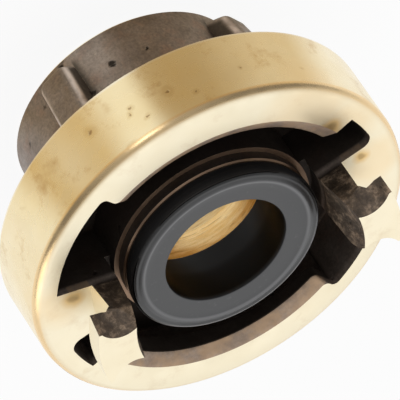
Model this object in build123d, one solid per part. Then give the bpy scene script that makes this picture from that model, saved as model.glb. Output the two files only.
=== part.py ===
from build123d import *
from math import atan2, cos, degrees, radians, sin, tan
import os

# Hose coupling half of the fixed type: one brass casting with two hooked lugs, and its seal ring.
# Frame: origin at the centre of the flat rear face, +Z towards the lugs, lug centres on the X axis.
# Lengths are millimetres and angles are degrees, counted from +X towards +Y.

# Lug ring
face_height = 28.3
ring_radius = 27.5
ring_width = 11.5
ring_front_round = 1.3
ring_back_chamfer = 0.3
ring_back_slope = 0.7

# Threaded socket at the rear
socket_radius = 16.9
socket_root_round = 1.6
socket_end_chamfer = 0.4
thread_bore_radius = 13.2
thread_depth = 14.0
thread_mouth_chamfer = 0.9
waterway_radius = 10.1
waterway_cone_length = 2.2

# Wrench ribs on the socket
rib_count = 4
rib_first_angle = 32.5
rib_width = 5.4
rib_start = 1.6
rib_rise_start = 2.7
rib_rise_end = 4.65
rib_end_lean = 1.4
rib_edge_round = 1.5

# Cavity behind the lip, and the mouth that opens it
cavity_radius = 24.4
cavity_depth = 9.2
lip_radius = 20.1
lip_edge_radius = 22.0
lip_edge_drop = 1.0
lip_offset = 0.5
lip_start_angle = 31.5
lip_end_angle = 126.0
lip_thin = 2.6
lip_thick = 4.4
mouth_step_round = 0.9
notch_corner_round = 1.6
lip_start_skew = 3.0

# Lugs
lug_count = 2
lug_distance = 31.0
lug_height = 8.8
lug_foot_half_angle = 13.0
lug_waist_half_angle = 16.0
lug_top_half_angle = 13.5
post_outer_radius = 19.25
hook_outer_radius = 22.5
hook_gap_height = 5.95
hook_gap_slope = 2.5
hook_gap_chamfer = 0.8
lug_back_lean = 1.45
lug_shoulder_height = 6.0
lug_shoulder_lean = 0.95
lug_scoop_radius = 3.8
lug_neck_half_width = 2.9
lug_scoop_offset = 18.2
lug_scoop_depth = 3.2

# Neck that carries the seal
neck_radius = 14.6
neck_shoulder_drop = 2.75
rim_radius = 13.9
rim_drop = 1.2
rim_edge_chamfer = 0.2
lug_gap_depth = 4.0
seat_radius = 12.3
seat_depth = 8.1
seat_groove_radius = 13.0
seat_groove_top = 4.6
seat_groove_width = 1.6

# Seal ring
seal_clearance = 0.1
seal_collar_radius = 13.6
seal_head_radius = 14.0
seal_head_base = -0.1
seal_proud = 1.65
seal_head_round = 0.5
seal_groove_radius = 13.1
seal_groove_drop = 0.25
seal_ridge_radius = 12.5
seal_ridge_inner_radius = 12.1
seal_face_drop = 0.3
seal_hole_radius = 8.95
seal_inner_radius = 10.0
seal_throat_drop = 3.2

# Heights that follow from the sizes above
ring_back_height = face_height - ring_width
cavity_floor = face_height - cavity_depth
seat_floor = face_height - seat_depth
rim_height = face_height - rim_drop
lug_top = face_height + lug_height
lug_inner_radius = lug_distance / 2
wall_overlap = 1.0
round_flats = 3


def turned(points):
    """Solid of revolution about Z from (radius, height) points; a third number rounds its corner."""
    corners = [Vector(*point[:2]) for point in points]
    outline = []
    for index, point in enumerate(points):
        neighbours = (corners[index - 1], corners[(index + 1) % len(points)])
        size = point[2] if len(point) > 2 else 0
        outline += eased(corners[index], *neighbours, size) if size else [corners[index]]
    return revolve(Plane.XZ * make_face(Polyline(*outline, close=True)), Axis.Z)


def eased(corner, before, after, radius):
    """A corner drawn as short flats whose ends lie on an arc of that radius."""
    arms = [(before - corner).normalized(), (after - corner).normalized()]
    half = radians(arms[0].get_angle(arms[1])) / 2
    centre = corner + (arms[0] + arms[1]).normalized() * (radius / sin(half))
    start, end = [corner + arm * (radius / tan(half)) - centre for arm in arms]
    shares = [step / round_flats for step in range(round_flats + 1)]
    return [centre + (start * (1 - share) + end * share).normalized() * radius for share in shares]


def sector(inner, outer, start, end, skew=0.0):
    """Flat ring sector; skew swings the outer end of its start edge back by that angle."""
    outer_arc = CenterArc((0, 0), outer, start - skew, end - start + skew)
    inner_arc = CenterArc((0, 0), inner, start, end - start)
    sides = [Line(outer_arc @ 0, inner_arc @ 0), Line(outer_arc @ 1, inner_arc @ 1)]
    return make_face([outer_arc, inner_arc] + sides)


def raised(flat, bottom, top):
    """Flat face drawn at height zero, made solid from one height to another."""
    return extrude(Pos(0, 0, bottom) * flat, top - bottom, dir=(0, 0, 1))


def around(shape, count, first_angle=0.0):
    """Copies of a shape at equal angles about Z."""
    return [Rot(0, 0, first_angle + 360 * i / count) * shape for i in range(count)]


def turned_blank():
    """Socket, ring, neck and waterway as one turned form, before mouth, lugs and ribs."""
    groove_top = face_height - seat_groove_top
    groove_bottom = groove_top - seat_groove_width
    ring_root = ring_back_height - ring_back_slope
    points = [
        (thread_bore_radius + thread_mouth_chamfer, 0),
        (socket_radius - socket_end_chamfer, 0),
        (socket_radius, socket_end_chamfer),
        (socket_radius, ring_root, socket_root_round),
        (ring_radius - ring_back_chamfer, ring_back_height),
        (ring_radius, ring_back_height + ring_back_chamfer),
        (ring_radius, face_height, ring_front_round),
        (neck_radius, face_height),
        (neck_radius, face_height - neck_shoulder_drop),
        (rim_radius, face_height - neck_shoulder_drop),
        (rim_radius, rim_height - rim_edge_chamfer),
        (rim_radius - rim_edge_chamfer, rim_height),
        (seat_radius, rim_height),
        (seat_radius, groove_top),
        (seat_groove_radius, groove_top),
        (seat_groove_radius, groove_bottom),
        (seat_radius, groove_bottom),
        (seat_radius, seat_floor),
        (waterway_radius, seat_floor),
        (waterway_radius, thread_depth + waterway_cone_length),
        (thread_bore_radius, thread_depth),
        (thread_bore_radius, thread_mouth_chamfer),
    ]
    return turned(points)


def mouth_outline(radius):
    """Opening inside two lips: two insertion gaps, and two notches beside the lug roots."""
    outline = Circle(cavity_radius) - Circle(neck_radius)
    outer = cavity_radius + wall_overlap
    inner = neck_radius - wall_overlap
    lip = sector(neck_radius, outer, lip_start_angle, lip_end_angle, lip_start_skew)
    root = sector(inner, outer, -lug_foot_half_angle, lug_foot_half_angle)
    for piece in around(lip, lug_count):
        outline = outline - (piece - Pos(0, lip_offset) * Circle(radius))
    for piece in around(root, lug_count):
        outline = outline - piece
    for index in range(lug_count):
        turn = 360 * index / lug_count
        outline = round_corner(outline, radius, lip_end_angle + turn, mouth_step_round)
        outline = round_corner(outline, cavity_radius, lip_end_angle + turn, mouth_step_round)
        outline = round_corner(outline, cavity_radius, lug_foot_half_angle + turn, notch_corner_round)
    return outline


def mouth():
    """The opening cut from the front; near the face the lips slope back, as the casting left them."""
    wall = mouth_outline(lip_radius)
    edge = mouth_outline(lip_edge_radius)
    slope_end = face_height - lip_edge_drop
    cuts = [raised(wall, cavity_floor, slope_end), raised(edge, face_height, lug_top)]
    for lower, upper in zip(wall.faces(), edge.faces()):
        cuts.append(loft([Pos(0, 0, slope_end) * lower, Pos(0, 0, face_height) * upper], ruled=True))
    return cuts


def round_corner(outline, radius, angle, size):
    """Round the corner of a flat outline that lies nearest to a polar position."""
    spot = (radius * cos(radians(angle)), radius * sin(radians(angle)), 0)
    return fillet(outline.vertices().sort_by_distance(spot)[0], size)


def lip_pocket():
    """Space under one lip; its roof slopes, so that the lip thickens into a clamping ramp."""
    middle = (lip_start_angle + lip_end_angle) / 2
    half = radians((lip_end_angle - lip_start_angle) / 2)
    run = (lip_radius + cavity_radius) * sin(half)
    slope = degrees(atan2(lip_thick - lip_thin, run))
    flat = sector(neck_radius, cavity_radius, lip_start_angle - lip_start_skew, lip_end_angle)
    space = raised(flat, cavity_floor, face_height)
    roof_size = 4 * ring_radius
    roof = Pos(0, 0, roof_size / 2) * Box(roof_size, roof_size, roof_size)
    height = face_height - (lip_thin + lip_thick) / 2
    lean = Rot(0, 0, middle) * Rot(slope, 0, 0) * Rot(0, 0, -middle)
    return space - Pos(0, 0, height) * lean * roof


def lug_gap():
    """Narrow gap between the seal neck and the foot of a lug."""
    flat = sector(neck_radius, lug_inner_radius, -lug_waist_half_angle, lug_waist_half_angle)
    return raised(flat, face_height - lug_gap_depth, face_height + lug_height)


def lug():
    """One hooked lug: turned outside and top, cast back and flanks, scooped above the hook."""
    shoulder = face_height + lug_shoulder_height
    points = [
        (lug_inner_radius, face_height - wall_overlap),
        (post_outer_radius, face_height - wall_overlap),
        (post_outer_radius, face_height + wall_overlap),
        (hook_outer_radius, face_height + wall_overlap),
        (hook_outer_radius, lug_top),
        (lug_inner_radius + lug_back_lean, lug_top),
        (lug_inner_radius + lug_shoulder_lean, shoulder),
        (lug_inner_radius, face_height),
    ]
    waist = face_height + hook_gap_height
    blank = turned(points) & (
        flared(lug_foot_half_angle, lug_waist_half_angle, face_height, waist)
        + flared(lug_waist_half_angle, lug_top_half_angle, waist, lug_top)
        + flared(lug_foot_half_angle, lug_foot_half_angle, face_height - wall_overlap, face_height)
    )
    blank = blank - hook_gap()
    for side in (-1, 1):
        blank = blank - lug_scoop(side)
    return blank


def flared(bottom_half_angle, top_half_angle, bottom, top):
    """Wedge from the axis outwards whose flanks open or close by a few degrees on the way up."""
    reach = 2 * ring_radius
    levels = []
    for half_angle, height in ((bottom_half_angle, bottom), (top_half_angle, top)):
        side = reach * tan(radians(half_angle))
        corners = [(0, 0, height), (reach, -side, height), (reach, side, height)]
        levels.append(make_face(Polyline(*corners, close=True)))
    return loft(levels, ruled=True)


def hook_gap():
    """Space under the hook; its roof rises along the hook to match the ramp of the mating lip."""
    outer = hook_outer_radius + wall_overlap
    spread = 2 * lug_waist_half_angle
    space = raised(sector(post_outer_radius, outer, -spread, spread), face_height, lug_top)
    roof_size = 4 * lug_height
    roof = Pos(0, 0, roof_size / 2) * Box(2 * ring_radius, 2 * ring_radius, roof_size)
    middle = ((post_outer_radius + hook_outer_radius) / 2, 0, face_height + hook_gap_height)
    space = space - Pos(*middle) * Rot(hook_gap_slope, 0, 0) * roof
    inner_corner = (post_outer_radius, 0, face_height + hook_gap_height)
    return chamfer(space.edges().sort_by_distance(inner_corner)[0], hook_gap_chamfer)


def lug_scoop(side):
    """Leaning round cut that narrows the top of the lug and leaves the tip of the hook wide."""
    start_half_width = lug_scoop_offset * tan(radians(lug_waist_half_angle))
    lean = degrees(atan2(start_half_width - lug_neck_half_width, lug_scoop_depth))
    axis_distance = lug_neck_half_width + lug_scoop_radius / cos(radians(lean))
    cutter = Cylinder(lug_scoop_radius, 4 * lug_height)
    place = Pos(lug_scoop_offset, side * axis_distance, lug_top)
    return place * Rot(side * lean, 0, 0) * cutter


def wrench_rib():
    """Rib along the socket that rises towards the ring, for turning the coupling."""
    inner = socket_radius - wall_overlap
    top = ring_back_height
    points = [
        (inner, rib_start),
        (socket_radius, rib_start),
        (socket_radius + rib_rise_start, rib_start + rib_end_lean),
        (socket_radius + rib_rise_end, top),
        (inner, top),
    ]
    outline = Plane.XZ * make_face(Polyline(*points, close=True))
    rib = extrude(outline, rib_width / 2, both=True)
    proud = rib.edges().filter_by(lambda edge: edge.center().X > socket_radius + rib_rise_start / 4)
    crest = proud.filter_by(lambda edge: edge.center().Z < top - rib_edge_round)
    return fillet(crest, rib_edge_round)


def coupling_body():
    """The whole brass casting with its turned faces."""
    body = turned_blank()
    for cut in mouth() + around(lip_pocket(), lug_count) + around(lug_gap(), lug_count):
        body = body - cut
    for piece in around(lug(), lug_count) + around(wrench_rib(), rib_count, rib_first_angle):
        body = body + piece
    return body


def seal_ring():
    """Moulded ring: a head that stands proud of the face, and a stem with a bead in the neck."""
    stem_radius = seat_radius - seal_clearance
    bead_radius = seat_groove_radius - seal_clearance
    bead_top = face_height - seat_groove_top - seal_clearance
    bead_bottom = bead_top - seat_groove_width + 2 * seal_clearance
    head_base = face_height + seal_head_base
    top = face_height + seal_proud
    points = [
        (seal_inner_radius, seat_floor),
        (stem_radius, seat_floor),
        (stem_radius, bead_bottom),
        (bead_radius, bead_bottom),
        (bead_radius, bead_top),
        (stem_radius, bead_top),
        (stem_radius, rim_height),
        (seal_collar_radius, rim_height),
        (seal_collar_radius, head_base),
        (seal_head_radius, head_base),
        (seal_head_radius, top, seal_head_round),
        (seal_groove_radius, top - seal_groove_drop),
        (seal_ridge_radius, top),
        (seal_ridge_inner_radius, top - seal_groove_drop / 2),
        (seal_hole_radius, top - seal_face_drop),
        (seal_hole_radius, face_height - seal_throat_drop),
    ]
    return turned(points)


os.makedirs("parts", exist_ok=True)
nodes = {"coupling_body": coupling_body(), "seal_ring": seal_ring()}
for name, shape in nodes.items():
    export_step(shape, f"parts/{name}.step")
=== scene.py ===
from functools import reduce
from math import cos, hypot, pi, radians, sin

import bmesh
import bpy
from mathutils import Matrix, Vector


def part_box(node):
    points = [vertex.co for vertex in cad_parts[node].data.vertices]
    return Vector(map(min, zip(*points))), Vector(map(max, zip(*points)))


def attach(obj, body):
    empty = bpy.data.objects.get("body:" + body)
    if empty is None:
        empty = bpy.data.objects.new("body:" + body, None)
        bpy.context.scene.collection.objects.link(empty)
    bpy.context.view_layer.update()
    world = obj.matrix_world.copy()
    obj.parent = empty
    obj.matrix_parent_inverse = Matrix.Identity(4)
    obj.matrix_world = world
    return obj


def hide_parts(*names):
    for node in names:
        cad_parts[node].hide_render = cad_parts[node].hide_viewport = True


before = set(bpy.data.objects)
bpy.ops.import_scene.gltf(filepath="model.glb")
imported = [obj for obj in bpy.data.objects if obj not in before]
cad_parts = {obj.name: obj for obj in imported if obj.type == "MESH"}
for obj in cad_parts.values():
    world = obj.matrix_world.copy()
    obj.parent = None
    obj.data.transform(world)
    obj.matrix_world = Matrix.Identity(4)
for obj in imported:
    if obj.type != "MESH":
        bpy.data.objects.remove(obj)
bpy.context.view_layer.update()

# Lengths are millimetres and angles are degrees, unless a comment says otherwise
MM = 0.001

# Sizes that the dressed pieces share with the solids
_, BODY_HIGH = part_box("coupling_body")
_, SEAL_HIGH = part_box("seal_ring")
SEAL_TOP = SEAL_HIGH.z / MM
RING_RADIUS = BODY_HIGH.x / MM
LUG_TOP = BODY_HIGH.z / MM
LUG_HEIGHT = 8.8
RING_WIDTH = 11.5
RING_FRONT_ROUND = 1.3
FACE_HEIGHT = LUG_TOP - LUG_HEIGHT
RING_BACK = FACE_HEIGHT - RING_WIDTH
CAVITY_RADIUS = 24.4
POST_RADIUS = 19.25
NECK_RADIUS = 14.6
LEDGE_HEIGHT = FACE_HEIGHT - 2.75
SEAT_FLOOR = FACE_HEIGHT - 8.1
THREAD_BORE_RADIUS = 13.2
SOCKET_RADIUS = 16.9
RIB_COUNT = 4
RIB_ANGLE = 32.5
SEAL_RIDGE_RADIUS = 12.3

# Camera, from the photograph's perspective; its three axes are unit vectors
CAMERA_PLACE = (156.6, -682.2, 547.1)
CAMERA_RIGHT = (-0.8827, 0.1422, 0.4479)
CAMERA_UP = (-0.4342, -0.6113, -0.6616)
CAMERA_BACK = (0.1797, -0.7785, 0.6014)
CAMERA_LENS = 588.5
CAMERA_SENSOR = 36.0

# Middle of the front face in metres, which the soft boxes are aimed at
MIDDLE = Vector((0, 0, FACE_HEIGHT * MM))

# Soft boxes: name, azimuth, elevation, then distance, width and height in metres, and brightness
SOFT_BOXES = [
    ("light_back", 110, 42, 0.9, 0.7, 0.4, 0.16),
    ("light_front_strip", -76, 12, 0.55, 0.16, 0.16, 3.0),
    ("light_right", 25, 25, 0.7, 0.4, 0.4, 1.2),
]

# Brightness of the dim room
ROOM_DARK = 0.22
# Its glows: azimuth, elevation, cosines of the angles where each starts and is full, and strength
ROOM_GLOWS = [
    (103, 30, 0.05, 0.75, 0.72),
    (-77, 15, 0.60, 0.97, 0.22),
    (0, 90, 0.72, 0.98, 0.40),
]

# Floor: half its side in metres, drop below the object, colour, and how white it is to the camera
FLOOR_HALF = 0.6
FLOOR_DROP = 0.02
FLOOR_COLOUR = (0.86, 0.86, 0.86, 1.0)
FLOOR_GLOW = 0.92
# Radii between which its bands give way to white under the object
UNDER_OBJECT = (16.0, 14.0)

# Tones of the surroundings that bright metal mirrors in the floor, and the azimuth of the floor's front
WHITE = (1.0, 1.0, 1.0)
CREAM = (0.98, 0.95, 0.85)
SAND = (0.76, 0.66, 0.50)
OCHRE = (0.68, 0.52, 0.28)
BROWN = (0.48, 0.36, 0.20)
FLOOR_FRONT = -77
# Where each tone lies, as an azimuth from the front
FLOOR_BANDS = [
    (-180, WHITE), (-98, WHITE), (-80, SAND), (-65, SAND), (-35, BROWN), (-12, BROWN), (-5, CREAM),
    (6, CREAM), (20, OCHRE), (36, SAND), (48, OCHRE), (62, CREAM), (75, WHITE), (180, WHITE),
]

# Turned brass: name, lighter and deeper tone, roughness, and how far the front face is painted pale as
# a highlight
BRIGHT_BRASS = ("turned_brass", (0.94, 0.83, 0.59), (0.90, 0.76, 0.49), 0.24, 0.55)
STAINED_BRASS = ("stained_brass", (0.42, 0.28, 0.19), (0.20, 0.13, 0.085), 0.38, 0.0)
WORN_BRASS = ("worn_edges", (0.70, 0.54, 0.38), (0.54, 0.40, 0.27), 0.33, 0.0)
# How much rougher that face is
FACE_ROUGHER = 0.14
# Tones of the marks on turned brass; the line on the ring's back edge and the pale front face are
# painted highlights
SMUDGE = (0.62, 0.42, 0.19)
PIT_HALO = (0.60, 0.42, 0.18)
PIT_BROWN = (0.26, 0.15, 0.07)
BACK_EDGE_HIGHLIGHT = (0.98, 0.93, 0.84)
WARM_ROUND = (0.88, 0.63, 0.33)
# Painted highlight: the pale tone that the front face is moved toward
FACE_HIGHLIGHT_TONE = (0.95, 0.89, 0.72)
GOLDEN_TINT = (0.94, 0.72, 0.42)
GOLDEN_STAIN = (0.84, 0.58, 0.24)
STAIN_CORE = (0.38, 0.24, 0.10)

# Pits on the ring and the socket, stains and tints on the front face: azimuth, height and size
RING_PITS = [
    (-64.1, 21.2, 0.40), (-77.1, 22.2, 0.26), (-75.9, 23.0, 0.20), (-87.2, 21.3, 0.18),
    (-88.0, 22.9, 0.34), (-94.6, 25.0, 0.20), (-80.0, 24.9, 0.24), (-110.0, 23.4, 0.16),
    (-128.7, 24.5, 0.16),
]
SOCKET_PITS = [(-82.2, 5.7, 0.62), (-81.6, 6.3, 0.50), (-99.1, 6.1, 0.32)]
STAIN_RADIUS = 22.0
TINT_RADIUS = 23.5
FACE_STAINS = [(-9.0, FACE_HEIGHT, 2.3), (-146.3, FACE_HEIGHT, 1.9), (-170.5, FACE_HEIGHT, 1.6)]
FACE_TINTS = [
    (-131.5, FACE_HEIGHT, 7.5), (-150.0, FACE_HEIGHT, 6.0), (-9.0, FACE_HEIGHT, 5.5),
    (-176.0, FACE_HEIGHT, 5.0),
]

# Zones of the turned brass: a painted highlight line on the ring's back edge, the round of its front
# edge, the front face
BACK_HIGHLIGHT_HEIGHT = (RING_BACK + 0.62, RING_BACK + 0.45)
BACK_HIGHLIGHT_RADIUS = (RING_RADIUS - 1.0, RING_RADIUS - 0.7)
ROUND_HEIGHT = (FACE_HEIGHT - 1.35, FACE_HEIGHT - 1.1, FACE_HEIGHT - 0.3, FACE_HEIGHT)
ROUND_RADIUS = (RING_RADIUS - 1.7, RING_RADIUS - 1.2)
FACE_ZONE = (FACE_HEIGHT - 0.4, FACE_HEIGHT - 0.05)

# Bored brass: tones, how far its streaks are drawn out round the wall, and where it gets rougher
BORE_DEEP = (0.80, 0.55, 0.23)
BORE_LIGHT = (0.97, 0.80, 0.47)
BORE_SPECK = (0.48, 0.30, 0.13)
STREAK_STRETCH = 0.12
ROUGHER_BORE = (16.6, 15.8)

# Tones of the casting's skin, and of the shade and highlight painted on it
OXIDE_DARK = (0.262, 0.208, 0.170)
OXIDE_LIGHT = (0.440, 0.362, 0.312)
RUST = (0.36, 0.225, 0.165)
PALE_SPECK = (0.48, 0.39, 0.31)
SHADOW = (0.020, 0.014, 0.010)
# Painted shade at the foot of the ribs' flanks, and rib crest edges that are wear and painted highlight
RIB_FLANK_SHADE = (0.035, 0.028, 0.020)
RIB_WEAR_AND_HIGHLIGHT = (0.86, 0.74, 0.68)
# Painted shade on the inner side of the lug posts
POST_SHADE = (0.035, 0.026, 0.019)
LIP_COPPER = (0.46, 0.31, 0.19)
TORN_SKIN = [(0.40, (0.050, 0.034, 0.020)), (0.52, (0.145, 0.102, 0.066)), (0.64, (0.52, 0.38, 0.26))]

# Zones of the wrench ribs, for painted shade at the foot of their flanks and lighter crest edges that
# are wear and painted highlight: by height, aside from a rib's middle, and out from the axis
RIB_ZONE = (RING_BACK - 0.02, RING_BACK - 0.3)
FLANK_SHADE_HEIGHT = (1.2, 2.2)
FLANK_SHADE_ASIDE = (2.55, 2.7, 2.9, 3.7)
FLANK_SHADE_OUT = (20.6, 20.0)
CREST_EDGE_ASIDE = (1.9, 2.3, 2.5, 2.68)
CREST_EDGE_OUT = (18.6, 19.2, 21.0, 21.4)

# Zones of the skin: the painted shade of the cavity and of the lug posts' inner side, the slope of the
# lips, and all above the face
CAVITY_ZONE = (CAVITY_RADIUS + 0.5, CAVITY_RADIUS - 0.1)
CAVITY_HEIGHT = (RING_BACK + 1.0, RING_BACK + 1.5, FACE_HEIGHT - 1.3, FACE_HEIGHT - 0.7)
CAVITY_WALL = (CAVITY_RADIUS - 0.7, CAVITY_RADIUS - 0.2)
POST_ZONE = (19.5, 18.5)
POST_HEIGHT = (FACE_HEIGHT - 0.5, FACE_HEIGHT, FACE_HEIGHT + 3.5, FACE_HEIGHT + 7.0)
LIP_ZONE = (19.4, 19.6, 22.5, 22.7)
LIP_HEIGHT = (FACE_HEIGHT - 1.2, FACE_HEIGHT - 0.9, FACE_HEIGHT + 0.1, FACE_HEIGHT + 0.3)
ABOVE_FACE = (FACE_HEIGHT + 0.1, FACE_HEIGHT + 0.4)

# Rubber: tones, and the sheen of its open faces and of its hole, whose lower sheen is painted shade
RUBBER_INSIDE = (0.0030, 0.0026, 0.0022)
RUBBER_OUTSIDE = (0.013, 0.013, 0.0135)
RUBBER_BLOOM = (0.043, 0.044, 0.047)
# Painted highlights: a grey line on the ridge, and a lighter line on one side of the outer edge
RIDGE_HIGHLIGHT = (0.15, 0.15, 0.155)
RIM_HIGHLIGHT = (0.30, 0.30, 0.31)
SCUFF_GREY = (0.10, 0.10, 0.10)
OPEN_SHEEN = 0.68
HOLE_SHEEN = 0.1

# Zones of the rubber: bloom on its top, a painted highlight line on its ridge, and a painted highlight
# line on one side of its outer edge
BLOOM_HEIGHT = (SEAL_TOP - 1.0, SEAL_TOP - 0.5)
BLOOM_END = (12.6, 13.1)
OUTER_WALL = (11.0, 13.0)
RIDGE_ASIDE = (0.35, 0.05)
RIM_LIT_SIDE = 110
RIM_LIT_TOWARD = (2.0, 9.0)
RIM_HIGHLIGHT_RADIUS = (13.50, 13.66)
RIM_HIGHLIGHT_HEIGHT = (SEAL_TOP - 1.1, SEAL_TOP - 0.8)
OUTER_FALL = (12.75, 14.0)

# Thread: start, pitch, turns, flats in a turn, and the flats over which each end runs out
THREAD_START = 1.3
THREAD_PITCH = 1.814
THREAD_TURNS = 6.1
THREAD_FLATS = 72
THREAD_RUN_OUT = 24
# Section of its ridge: distance out from the bore's wall, and rise
THREAD_SECTION = [(0.05, -0.74), (-0.94, -0.19), (-1.14, 0.0), (-0.94, 0.19), (0.05, 0.74)]

# Copies of the solids: weld distance, width of broken edges, and the turn that makes an edge sharp
WELD_DISTANCE = 0.002
CASTING_ROUND = 0.14
SEAL_ROUND = 0.2
SHARP_TURN = 35

# Telling faces apart by place: how near counts as touching, the rear end, and the lugs' outer side
NEAR = 0.1
REAR_END = 0.6
LUG_OUTSIDE = POST_RADIUS - 0.3
# Telling them apart by their unit normals: parts along the axis, and away from it
LEVEL = 0.95
STEEP = 0.7
UPWARD = 0.5
OUTWARD = 0.9

# Material slots of the casting, and of the seal
CAST, TURNED, BORED, STAINED, WORN = range(5)
OPEN_RUBBER, HOLE_RUBBER = range(2)


class Nodes:
    """Short calls that add nodes to the tree of a material or a world, and join them."""

    def __init__(self, owner):
        owner.use_nodes = True
        self.owner = owner
        self.nodes = owner.node_tree.nodes
        self.links = owner.node_tree.links

    def put(self, socket, value):
        """Join a socket to another, or set it; None leaves it as it is."""
        if isinstance(value, bpy.types.NodeSocket):
            self.links.new(value, socket)
        elif value is not None:
            socket.default_value = value

    def add(self, kind, *values, **settings):
        """A new node with its settings, and its first inputs filled in their order."""
        node = self.nodes.new(kind)
        for setting, value in settings.items():
            setattr(node, setting, value)
        for socket, value in zip(node.inputs, values):
            self.put(socket, value)
        return node

    def fill(self, node, values):
        """The same node, with inputs filled by name."""
        for name, value in values.items():
            self.put(node.inputs[name], value)
        return node

    def math(self, operation, *values):
        return self.add("ShaderNodeMath", *values, operation=operation).outputs[0]

    def vector_math(self, operation, *vectors):
        return self.add("ShaderNodeVectorMath", *vectors, operation=operation).outputs

    def chain(self, operation, values):
        return reduce(lambda first, second: self.math(operation, first, second), values)

    def product(self, *values):
        return self.chain("MULTIPLY", values)

    def total(self, *values):
        return self.chain("ADD", values)

    def largest(self, *values):
        return self.chain("MAXIMUM", values)

    def fade(self, value, start, end, low=0.0, high=1.0, curve="LINEAR"):
        """Low where the value is at start, high where it is at end, and no further beyond either."""
        limits = (value, start, end, low, high)
        return self.add("ShaderNodeMapRange", *limits, interpolation_type=curve).outputs[0]

    def ramp(self, value, stops):
        """A colour that runs from stop to stop; a stop is a share from 0 to 1 and its colour."""
        node = self.add("ShaderNodeValToRGB", value)
        elements = node.color_ramp.elements
        while len(elements) < len(stops):
            elements.new(0.5)
        for element, (share, colour) in zip(elements, stops):
            element.position = share
            element.color = (*colour, 1.0)
        return node.outputs["Color"]

    def mix(self, share, first, second, blend="MIX"):
        """The first colour, moved toward the second by a share."""
        node = self.add("ShaderNodeMix", share, data_type="RGBA", blend_type=blend)
        for socket, colour in ((node.inputs[6], first), (node.inputs[7], second)):
            self.put(socket, (*colour, 1.0) if isinstance(colour, tuple) else colour)
        return node.outputs[2]


class Surface(Nodes):
    """The nodes of a new material, with a point's place, its three parts and its radius in metres."""

    def __init__(self, name):
        super().__init__(bpy.data.materials.new(name))
        self.principled = self.nodes["Principled BSDF"]
        self.place = self.nodes.new("ShaderNodeTexCoord").outputs["Object"]
        self.x, self.y, self.z = self.add("ShaderNodeSeparateXYZ", self.place).outputs
        squares = self.total(self.product(self.x, self.x), self.product(self.y, self.y))
        self.radius = self.math("SQRT", squares)

    def dress(self, values):
        """Fill the surface's inputs by name, and return the material."""
        self.fill(self.principled, values)
        return self.owner

    def tint(self, tone, colour, *shares):
        """The tone, moved toward a colour by the product of some shares."""
        return self.mix(self.product(*shares), tone, colour)

    def zone(self, value, places, low=0.0, high=1.0):
        """From low at the first place to high at the second; with four places, back to 0 from the third
        to the fourth. The value is in metres."""
        start, full, *rest = [place * MM for place in places]
        share = self.fade(value, start, full, low, high)
        if rest:
            fading, end = rest
            share = self.product(share, self.fade(value, end, fading))
        return share

    def belt(self, radii, heights):
        """The share inside a zone of radii and a zone of heights."""
        return self.product(self.zone(self.radius, radii), self.zone(self.z, heights))

    def along(self, azimuth):
        """How far a point lies from the axis toward an azimuth, in metres."""
        turn = radians(azimuth)
        return self.total(self.product(self.x, cos(turn)), self.product(self.y, sin(turn)))

    def noise_node(self, vector, scale, detail, roughness):
        node = self.add("ShaderNodeTexNoise", vector)
        return self.fill(node, {"Scale": scale, "Detail": detail, "Roughness": roughness})

    def noise(self, scale, detail=3.0, roughness=0.55, vector=None):
        """Noise round 0.5; the scale counts its waves in a metre."""
        vector = self.place if vector is None else vector
        return self.noise_node(vector, scale, detail, roughness).outputs["Fac"]

    def shaken(self, scale, reach):
        """The point's place, pushed about by a fine noise so that a round spot turns ragged."""
        push = self.noise_node(self.place, scale, 2.0, 0.5).outputs["Color"]
        moved = self.vector_math("MULTIPLY_ADD", push, (reach * MM,) * 3, self.place)[0]
        return self.vector_math("SUBTRACT", moved, (reach * MM / 2,) * 3)[0]

    def spots(self, place, radius, spots, spread=1.0):
        """How deep a place lies in the nearest of some round spots: 0 at its edge, 1 from halfway."""
        depths = []
        for azimuth, height, size in spots:
            centre = round_axis(radius, radians(azimuth), height)
            distance = self.vector_math("DISTANCE", place, centre)["Value"]
            depths.append(self.zone(distance, (spread * size, 0.5 * spread * size)))
        return self.largest(*depths)

    def bump(self, height, strength, depth, below=None):
        """Relief from a height of 0 to 1, over the relief below; a negative depth sinks."""
        values = {"Strength": strength, "Distance": depth * MM, "Height": height, "Normal": below}
        return self.fill(self.nodes.new("ShaderNodeBump"), values).outputs[0]


def round_axis(radius, turn, height):
    """A place in metres at a radius and a height, turned by radians from +X."""
    return (radius * cos(turn) * MM, radius * sin(turn) * MM, height * MM)


def direction(azimuth, elevation):
    """Unit vector toward an azimuth and an elevation."""
    flat = cos(radians(elevation))
    return Vector((flat * cos(radians(azimuth)), flat * sin(radians(azimuth)), sin(radians(elevation))))


def in_scene(name, data):
    """A new object with this data, linked to the scene."""
    thing = bpy.data.objects.new(name, data)
    bpy.context.scene.collection.objects.link(thing)
    return thing


def piece_from(name, places, faces):
    """A new piece with these places and faces."""
    mesh = bpy.data.meshes.new(name)
    mesh.from_pydata(places, [], faces)
    return in_scene(name, mesh)


def make_camera():
    """Camera at the photograph's viewing angle; the object lies rolled in its view."""
    data = bpy.data.cameras.new("camera")
    data.sensor_width = CAMERA_SENSOR
    data.lens = CAMERA_LENS
    data.clip_start = 0.01
    data.clip_end = 10.0
    camera = in_scene("camera", data)
    turn = Matrix((CAMERA_RIGHT, CAMERA_UP, CAMERA_BACK)).transposed()
    camera.matrix_world = Matrix.Translation(Vector(CAMERA_PLACE) * MM) @ turn.to_4x4()
    bpy.context.scene.camera = camera


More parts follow.
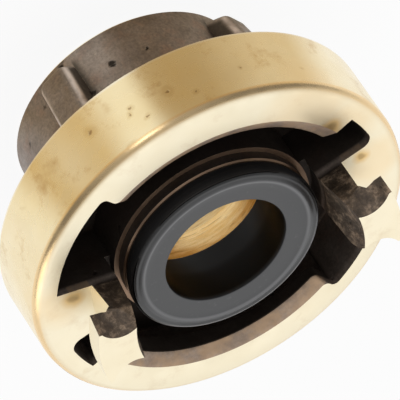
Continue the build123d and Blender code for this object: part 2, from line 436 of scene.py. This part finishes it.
def make_room():
    """A dim room with soft glows behind, in front and overhead, and plain white to the camera."""
    world = bpy.data.worlds.new("room")
    bpy.context.scene.world = world
    s = Nodes(world)
    looking = s.nodes.new("ShaderNodeTexCoord").outputs["Generated"]
    light = ROOM_DARK
    for azimuth, elevation, start, end, strength in ROOM_GLOWS:
        nearness = s.vector_math("DOT_PRODUCT", looking, direction(azimuth, elevation))["Value"]
        light = s.total(light, s.fade(nearness, start, end, 0.0, strength, curve="SMOOTHSTEP"))
    seen = s.nodes.new("ShaderNodeLightPath").outputs["Is Camera Ray"]
    strength = s.fade(seen, 0.0, 1.0, light, 1.0)
    s.fill(s.nodes["Background"], {"Color": (*WHITE, 1.0), "Strength": strength})


def make_lights():
    """Soft boxes round the object, aimed at the middle of its front face."""
    for name, azimuth, elevation, distance, width, height, brightness in SOFT_BOXES:
        toward = direction(azimuth, elevation)
        data = bpy.data.lights.new(name, "AREA")
        data.shape = "RECTANGLE"
        data.size = width
        data.size_y = height
        data.energy = brightness * pi * width * height
        light = in_scene(name, data)
        light.location = MIDDLE + distance * toward
        light.rotation_euler = (-toward).to_track_quat("-Z", "Y").to_euler()


def floor_white():
    """Floor: plain white to the camera, banded with warm tones to bright metal, clear from below."""
    s = Surface("floor_white")
    s.dress({"Base Color": FLOOR_COLOUR, "Roughness": 0.9})
    path = s.nodes.new("ShaderNodeLightPath").outputs
    camera = path["Is Camera Ray"]
    turn = s.math("ARCTAN2", s.along(FLOOR_FRONT + 90), s.along(FLOOR_FRONT))
    stops = [((azimuth + 180) / 360, tone) for azimuth, tone in FLOOR_BANDS]
    bands = s.mix(s.zone(s.radius, UNDER_OBJECT), s.ramp(s.fade(turn, -pi, pi), stops), WHITE)
    glow = s.add("ShaderNodeEmission", s.mix(camera, bands, WHITE))
    seen = s.largest(camera, path["Is Glossy Ray"], path["Is Transmission Ray"])
    share = s.product(seen, s.fade(camera, 0.0, 1.0, 1.0, FLOOR_GLOW))
    top = s.add("ShaderNodeMixShader", share, s.principled.outputs[0], glow.outputs[0])
    below = s.nodes.new("ShaderNodeNewGeometry").outputs["Backfacing"]
    clear = s.nodes.new("ShaderNodeBsdfTransparent")
    both = s.add("ShaderNodeMixShader", below, top.outputs[0], clear.outputs[0])
    s.put(s.nodes["Material Output"].inputs["Surface"], both.outputs[0])
    return s.owner


def make_floor():
    """Plain floor just below the object."""
    sides = ((-1, -1), (1, -1), (1, 1), (-1, 1))
    corners = [(x * FLOOR_HALF, y * FLOOR_HALF, -FLOOR_DROP * MM) for x, y in sides]
    floor = piece_from("floor", corners, [(0, 1, 2, 3)])
    floor.data.materials.append(floor_white())


def face_marks(s, tone, face, face_highlight):
    """The front face is painted pale as a highlight, with broad golden tints, and stains that are
    darker in the middle.
    """
    tone = s.tint(tone, FACE_HIGHLIGHT_TONE, face, face_highlight)
    tone = s.tint(tone, GOLDEN_TINT, s.spots(s.shaken(110.0, 5.0), TINT_RADIUS, FACE_TINTS), 0.45)
    ragged = s.shaken(320.0, 1.8)
    tone = s.tint(tone, GOLDEN_STAIN, s.spots(ragged, STAIN_RADIUS, FACE_STAINS), 0.8)
    return s.tint(tone, STAIN_CORE, s.spots(ragged, STAIN_RADIUS, FACE_STAINS, spread=0.5), 0.6)


def turned_brass(name, light, deep, rough, face_highlight):
    """Brass cut on a lathe: fine rings round the axis, cloudy tarnish, and a few pits and stains."""
    s = Surface(name)
    tone = s.mix(s.fade(s.noise(70.0, 4.0, 0.6), 0.35, 0.65), light, deep)
    tone = s.mix(s.fade(s.noise(190.0, 6.0, 0.7), 0.56, 0.72, 0.0, 0.65), tone, SMUDGE)
    pits = s.spots(s.shaken(1400.0, 0.9), RING_RADIUS, RING_PITS)
    halo = s.spots(s.shaken(500.0, 1.4), RING_RADIUS, RING_PITS, spread=3.2)
    tone = s.tint(tone, PIT_HALO, halo, 0.30)
    tone = s.tint(tone, PIT_BROWN, pits, 0.65)
    # Painted highlight: a pale line along the ring's back edge
    tone = s.tint(tone, BACK_EDGE_HIGHLIGHT, s.belt(BACK_HIGHLIGHT_RADIUS, BACK_HIGHLIGHT_HEIGHT), 0.6)
    tone = s.tint(tone, WARM_ROUND, s.belt(ROUND_RADIUS, ROUND_HEIGHT), 0.85)
    face = s.zone(s.z, FACE_ZONE)
    tone = face_marks(s, tone, face, face_highlight)
    rings = s.noise(2600.0, 2.0, 0.7, s.add("ShaderNodeCombineXYZ", s.radius, 0.0, s.z).outputs[0])
    wear = s.fade(s.noise(320.0), 0.3, 0.7, rough - 0.04, rough + 0.05)
    relief = s.bump(rings, 0.10, 0.02)
    relief = s.bump(s.noise(260.0, 3.0, 0.5), 0.10, 0.05, relief)
    return s.dress({
        "Base Color": tone,
        "Metallic": 1.0,
        "Roughness": s.total(wear, s.product(rings, 0.05), s.product(face, FACE_ROUGHER)),
        "Anisotropic": 0.7,
        "Anisotropic Rotation": 0.25,
        "Tangent": s.add("ShaderNodeTangent", direction_type="RADIAL", axis="Z").outputs[0],
        "Normal": s.bump(pits, 0.35, -0.05, relief),
    })


def bored_brass():
    """Brass bored out: warm gold with streaks that run round the wall."""
    s = Surface("bored_brass")
    across = [s.product(part, STREAK_STRETCH) for part in (s.x, s.y)]
    stretched = s.add("ShaderNodeCombineXYZ", *across, s.z).outputs[0]
    streaks = s.noise(1500.0, 4.0, 0.7, stretched)
    specks = s.fade(s.noise(3200.0, 2.0, 0.5, stretched), 0.60, 0.70, 0.0, 0.6)
    tone = s.mix(s.fade(streaks, 0.38, 0.62), BORE_DEEP, BORE_LIGHT)
    rougher = s.zone(s.z, ROUGHER_BORE, 0.0, 0.3)
    return s.dress({
        "Base Color": s.mix(specks, tone, BORE_SPECK),
        "Metallic": 1.0,
        "Roughness": s.total(s.fade(streaks, 0.3, 0.7, 0.17, 0.27), rougher),
        "Normal": s.bump(streaks, 0.25, 0.03),
    })


def rib_painted_light_and_wear(s, tone):
    """Painted shade along the foot of the wrench ribs' flanks, and lighter edges on their crests that
    are wear and painted highlight.
    """
    spacing = 2 * pi / RIB_COUNT
    turn = s.math("SUBTRACT", s.math("ARCTAN2", s.y, s.x), radians(RIB_ANGLE) - spacing / 2)
    turn = s.math("SUBTRACT", s.math("FLOORED_MODULO", turn, spacing), spacing / 2)
    aside = s.math("ABSOLUTE", s.product(s.math("SINE", turn), s.radius))
    out = s.product(s.math("COSINE", turn), s.radius)
    behind = s.zone(s.z, RIB_ZONE)
    flank_shade = s.product(s.zone(aside, FLANK_SHADE_ASIDE), s.zone(out, FLANK_SHADE_OUT), s.zone(s.z, FLANK_SHADE_HEIGHT), behind)
    worn_and_lit = s.product(s.zone(aside, CREST_EDGE_ASIDE), s.zone(out, CREST_EDGE_OUT), behind)
    patchy = s.fade(s.noise(420.0), 0.35, 0.55, 0.35, 1.0)
    # Painted shade at the foot of the flanks; wear and painted highlight on the crest edges
    tone = s.tint(tone, RIB_FLANK_SHADE, flank_shade, 0.75)
    return s.tint(tone, RIB_WEAR_AND_HIGHLIGHT, worn_and_lit, patchy, 0.8)


def cast_tones(s):
    """Cloudy brown oxide with rust, pale specks and a dark grain."""
    tone = s.mix(s.fade(s.noise(170.0, 6.0, 0.65), 0.36, 0.66), OXIDE_DARK, OXIDE_LIGHT)
    tone = s.mix(s.fade(s.noise(300.0, 5.0, 0.6), 0.50, 0.75, 0.0, 0.8), tone, RUST)
    tone = s.mix(s.fade(s.noise(1300.0, 3.0, 0.6), 0.60, 0.72, 0.0, 0.45), tone, PALE_SPECK)
    return s.mix(1.0, tone, s.fade(s.noise(2400.0, 3.0, 0.7), 0.30, 0.70, 0.62, 1.0), "MULTIPLY")


def mouth_tones(s, tone):
    """Painted shade in the cavity and on the inner side of the lug posts, and a coppery patchy slope on
    the lips.
    """
    wall = s.zone(s.radius, CAVITY_WALL, 0.86, 0.45)
    tone = s.tint(tone, SHADOW, s.belt(CAVITY_ZONE, CAVITY_HEIGHT), wall)
    # Painted shade on the inner side of the lug posts, fading out upward
    tone = s.tint(tone, POST_SHADE, s.belt(POST_ZONE, POST_HEIGHT), 0.72)
    patchy = s.fade(s.noise(380.0, 5.0, 0.65), 0.38, 0.60, 0.30, 0.85)
    return s.tint(tone, LIP_COPPER, s.belt(LIP_ZONE, LIP_HEIGHT), patchy)


def cast_skin():
    """Sand-cast brass left as it came: brown oxide, fine grain, coppery wear on what stands out with
    some painted highlight, and painted shade in its pits, creases and cavity.
    """
    s = Surface("cast_skin")
    small_pits = s.fade(s.noise(420.0, 2.0, 0.5), 0.70, 0.76)
    pits = s.largest(small_pits, s.spots(s.shaken(1100.0, 1.1), SOCKET_RADIUS, SOCKET_PITS))
    tone = s.mix(pits, rib_painted_light_and_wear(s, cast_tones(s)), SHADOW)
    tone = mouth_tones(s, tone)
    above = s.zone(s.z, ABOVE_FACE)
    torn = s.noise(620.0, 5.0, 0.7)
    relief = s.bump(s.noise(1500.0, 3.0, 0.6), 0.45, 0.06)
    relief = s.bump(s.product(torn, above), 0.8, 0.35, relief)
    relief = s.bump(s.noise(330.0, 3.0, 0.5), 0.6, 0.14, relief)
    return s.dress({
        "Base Color": s.tint(tone, s.ramp(torn, TORN_SKIN), above, 0.7),
        "Metallic": 0.6,
        "Roughness": s.fade(s.noise(700.0), 0.3, 0.7, 0.40, 0.60),
        "Normal": s.bump(pits, 0.8, -0.14, relief),
    })


def moulded_rubber(name, sheen):
    """Black rubber with a dusty grey bloom and scuffs on its top, and painted highlight lines on its
    ridge and on one side of its outer edge.
    """
    s = Surface(name)
    patches = s.noise(130.0, 3.0, 0.5)
    scuffs = s.fade(s.noise(900.0, 4.0, 0.7), 0.60, 0.72, 0.0, 0.5)
    bloom = s.product(s.zone(s.z, BLOOM_HEIGHT), s.fade(patches, 0.3, 0.7, 0.75, 1.0),
                      s.zone(s.radius, BLOOM_END, 1.0, 0.2))
    tone = s.mix(s.zone(s.radius, OUTER_WALL), RUBBER_INSIDE, RUBBER_OUTSIDE)
    tone = s.mix(bloom, tone, RUBBER_BLOOM)
    from_ridge = s.math("ABSOLUTE", s.math("SUBTRACT", s.radius, SEAL_RIDGE_RADIUS * MM))
    # Painted highlights: a line on the ridge, and a line on the outer edge's side toward one azimuth
    tone = s.tint(tone, RIDGE_HIGHLIGHT, s.zone(from_ridge, RIDGE_ASIDE), bloom)
    lit_side = s.zone(s.along(RIM_LIT_SIDE), RIM_LIT_TOWARD)
    tone = s.tint(tone, RIM_HIGHLIGHT, s.belt(RIM_HIGHLIGHT_RADIUS, RIM_HIGHLIGHT_HEIGHT), lit_side)
    fall = s.zone(s.radius, OUTER_FALL)
    relief = s.bump(s.noise(2500.0, 2.0), 0.15, 0.02)
    return s.dress({
        "Base Color": s.tint(tone, SCUFF_GREY, scuffs, bloom),
        "Roughness": s.fade(patches, 0.3, 0.7, 0.33, 0.44),
        "Specular IOR Level": sheen,
        "Normal": s.bump(s.product(fall, fall), 1.0, -0.5, relief),
    })


def copy_of_node(node, name):
    """A welded copy of a node's mesh, with none of its old normals, ready to be dressed."""
    form = bmesh.new()
    form.from_mesh(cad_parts[node].data)
    bmesh.ops.remove_doubles(form, verts=form.verts, dist=WELD_DISTANCE * MM)
    form.verts.index_update()
    places = [vertex.co.copy() for vertex in form.verts]
    faces = [[vertex.index for vertex in face.verts] for face in form.faces]
    form.free()
    return piece_from(name, places, faces)


def soften_edges(piece, width):
    """Break every sharp edge of a piece by a small round, and keep its flat faces flat."""
    piece.data.shade_smooth()
    bevel = piece.modifiers.new("edges", "BEVEL")
    bevel.width = width * MM
    bevel.segments = 2
    bevel.limit_method = "ANGLE"
    bevel.angle_limit = radians(SHARP_TURN)
    bevel.use_clamp_overlap = True
    bevel.harden_normals = True
    bevel.miter_outer = "MITER_ARC"
    return bevel


def is_turned(centre, normal):
    """Whether the lathe cut a face; from the ring's back up, what looks straight down stays as cast."""
    radius = hypot(centre.x, centre.y)
    outward = (normal.x * centre.x + normal.y * centre.y) / max(radius, 0.01)
    if normal.z < -LEVEL and centre.z > RING_BACK - NEAR:
        return False
    lug_top = centre.z > LUG_TOP - NEAR
    lug_outside = outward > OUTWARD and centre.z > FACE_HEIGHT - NEAR and radius > LUG_OUTSIDE
    ring_outside = radius > RING_RADIUS - RING_FRONT_ROUND
    front_face = normal.z > LEVEL and abs(centre.z - FACE_HEIGHT) < NEAR
    bore = radius < THREAD_BORE_RADIUS + NEAR and centre.z < SEAT_FLOOR + NEAR
    return lug_top or lug_outside or ring_outside or front_face or bore or centre.z < REAR_END


def casting_slot(centre, normal):
    """Which material a face of the casting has, by its centre and its normal."""
    radius = hypot(centre.x, centre.y)
    if radius < NECK_RADIUS + NEAR / 2 and centre.z > LEDGE_HEIGHT - NEAR / 2 and normal.z > UPWARD:
        return STAINED
    if not is_turned(centre, normal):
        return CAST
    return BORED if radius < THREAD_BORE_RADIUS and centre.z < SEAT_FLOOR else TURNED


def make_casting():
    """The casting: its turned faces bright, its skin left brown, and its broken edges worn."""
    piece = copy_of_node("coupling_body", "casting")
    materials = [cast_skin(), turned_brass(*BRIGHT_BRASS), bored_brass(),
                 turned_brass(*STAINED_BRASS), turned_brass(*WORN_BRASS)]
    for material in materials:
        piece.data.materials.append(material)
    for face in piece.data.polygons:
        face.material_index = casting_slot(face.center / MM, face.normal)
    soften_edges(piece, CASTING_ROUND).material = WORN
    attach(piece, "root")
    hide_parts("coupling_body")


def make_thread():
    """The pipe thread inside the socket: one ridge of rounded section that winds up the bore."""
    count = int(THREAD_TURNS * THREAD_FLATS)
    places = []
    for index in range(count + 1):
        turn = 2 * pi * index / THREAD_FLATS
        full = min(1.0, index / THREAD_RUN_OUT, (count - index) / THREAD_RUN_OUT)
        middle = THREAD_START + THREAD_PITCH * index / THREAD_FLATS
        for depth, rise in THREAD_SECTION:
            radius = THREAD_BORE_RADIUS + (depth * full if depth < 0 else depth)
            places.append(round_axis(radius, turn, middle + rise))
    width = len(THREAD_SECTION)
    faces = []
    for index in range(count):
        for side in range(width - 1):
            first = index * width + side
            faces.append((first, first + 1, first + width + 1, first + width))
    piece = piece_from("thread", places, faces)
    piece.data.materials.append(bored_brass())
    piece.data.shade_smooth()
    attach(piece, "root")


def make_seal():
    """The rubber ring, with a shaded copy of its material on the wall of its hole: less sheen there, as
    painted shade.
    """
    piece = copy_of_node("seal_ring", "seal")
    piece.data.materials.append(moulded_rubber("moulded_rubber", OPEN_SHEEN))
    # A shaded copy with less sheen: painted shade on the hole's wall
    piece.data.materials.append(moulded_rubber("shaded_rubber", HOLE_SHEEN))
    for face in piece.data.polygons:
        inward = face.normal.x * face.center.x + face.normal.y * face.center.y < 0
        face.material_index = HOLE_RUBBER if inward and abs(face.normal.z) < STEEP else OPEN_RUBBER
    soften_edges(piece, SEAL_ROUND)
    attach(piece, "root")
    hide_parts("seal_ring")


make_camera()
make_room()
make_lights()
make_floor()
make_casting()
make_thread()
make_seal()
bpy.context.scene.view_settings.view_transform = "Standard"
